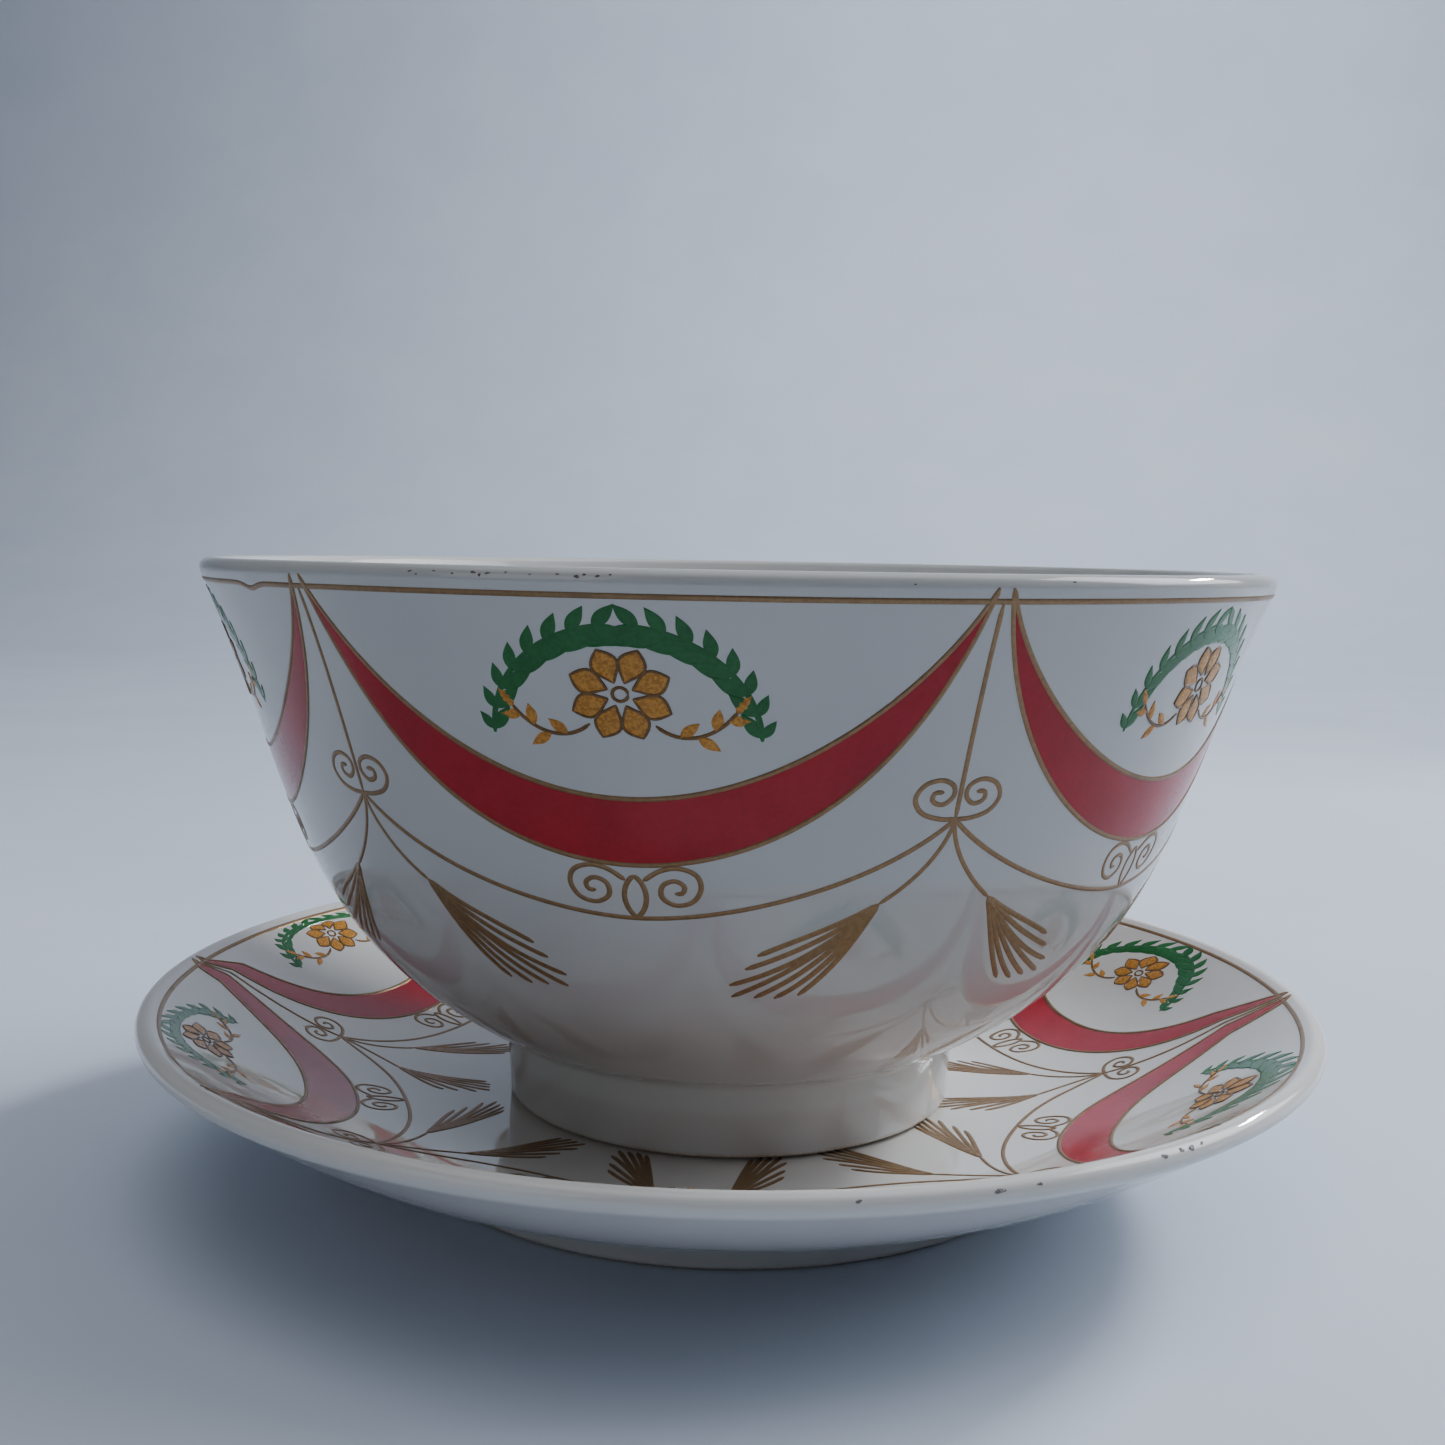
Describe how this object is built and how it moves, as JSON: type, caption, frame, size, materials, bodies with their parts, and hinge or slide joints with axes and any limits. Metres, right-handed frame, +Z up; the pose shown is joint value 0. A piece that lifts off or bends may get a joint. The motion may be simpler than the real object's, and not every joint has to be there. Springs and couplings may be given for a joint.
{
  "type": "footed bowl with saucer",
  "caption": "Footed porcelain bowl with a flared rim and painted swag border that stands in, and lifts out of, its matching saucer.",
  "frame": {"origin": "middle of the circle on which the saucer's foot ring stands", "axes": "+Z up along the axis of both turned vessels; +X and +Y are level and interchangeable"},
  "size_m": [0.1292, 0.1292, 0.0662],
  "materials": {
    "bowl_glaze": "glossy white glaze over porcelain, with a fired-on painted border",
    "saucer_glaze": "glossy white glaze over porcelain, with a fired-on painted border"
  },
  "bodies": {
    "saucer": {"saucer": "saucer_glaze"},
    "bowl": {"bowl": "bowl_glaze"}
  },
  "joints": [
    {"name": "bowl_lift", "type": "slide", "parent": "saucer", "child": "bowl", "axis": [0, 0, 1], "range_m": [0, 0.08]}
  ]
}
